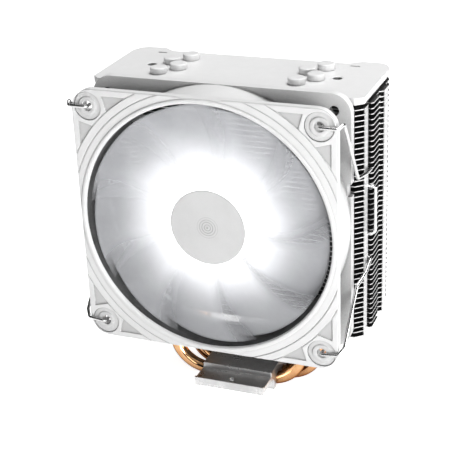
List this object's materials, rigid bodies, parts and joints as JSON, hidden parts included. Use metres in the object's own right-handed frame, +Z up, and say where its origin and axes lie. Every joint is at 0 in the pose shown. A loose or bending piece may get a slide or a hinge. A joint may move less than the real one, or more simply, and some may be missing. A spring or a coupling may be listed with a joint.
{
  "type": "cpu tower cooler",
  "caption": "Tower cooler for a processor: base with bent heat pipes, a stack of thin fins, a white cover, and a lit fan held by two wire clips.",
  "frame": {"origin": "middle of the contact face that sits on the processor", "axes": "+X to the right seen from the fan side, +Y away from the fan, +Z up from the contact face along the pipe legs"},
  "size_m": [0.134, 0.0868, 0.1575],
  "materials": {
    "base_metal": "brushed, dark in shade with bright edges",
    "fin_metal": "thin rolled sheet, satin",
    "white_metal": "satin white paint",
    "white_plastic": "satin white moulding",
    "cap_white": "smooth white",
    "copper": "polished copper",
    "frosted": "frosted clear moulding, lit from inside",
    "disc_grey": "light grey disc with fine rings",
    "soft_pad": "light grey rubber",
    "strip_rubber": "grey foam rubber",
    "wire_steel": "bright nickel plated spring wire",
    "shaft_steel": "ground steel",
    "yoke_steel": "plated pressed steel",
    "magnet": "plastic bonded magnet",
    "core_steel": "laminated steel",
    "winding": "enamelled copper wire",
    "bobbin": "nylon",
    "board": "green solder mask",
    "chip": "moulded black",
    "lamp": "white lamp with a clear front",
    "bronze": "sintered bronze",
    "label": "blank silver foil",
    "nylon": "nylon washer"
  },
  "bodies": {
    "heatsink": {"base_block": "base_metal", "heat_pipe_1": "copper", "heat_pipe_2": "copper", "heat_pipe_3": "copper", "heat_pipe_4": "copper", "cooling_fins_lower": "fin_metal", "cooling_fins_middle": "fin_metal", "cooling_fins_upper": "fin_metal", "top_cover": "white_metal", "pipe_caps_left": "cap_white", "pipe_caps_right": "cap_white", "fan_frame": "white_plastic", "front_corner_pads": "soft_pad", "damping_strip_left": "strip_rubber", "damping_strip_right": "strip_rubber", "bearing_bush": "bronze", "bearing_cap": "white_plastic", "motor_board": "board", "driver_chip": "chip", "hall_sensor": "chip", "lamps": "lamp", "stator_core": "core_steel", "bobbin_front": "bobbin", "bobbin_rear": "bobbin", "stator_coils": "winding", "motor_label": "label"},
    "rotor": {"impeller": "frosted", "hub_disc": "disc_grey", "rotor_yoke": "yoke_steel", "magnet_ring": "magnet", "rotor_shaft": "shaft_steel", "shaft_clip": "nylon"},
    "clip_left": {"wire_clip_left": "wire_steel"},
    "clip_right": {"wire_clip_right": "wire_steel"}
  },
  "joints": [
    {"name": "fan_spin", "type": "hinge", "parent": "heatsink", "child": "rotor", "pos_m": [0, -0.052, 0.0975], "axis": [0, 1, 0], "continuous": true},
    {"name": "clip_left_swing", "type": "hinge", "parent": "heatsink", "child": "clip_left", "pos_m": [-0.0525, -0.0515, 0.0975], "axis": [0, 0, 1], "range_deg": [0, 25]},
    {"name": "clip_right_swing", "type": "hinge", "parent": "heatsink", "child": "clip_right", "pos_m": [0.0525, -0.0515, 0.0975], "axis": [0, 0, -1], "range_deg": [0, 25]}
  ]
}
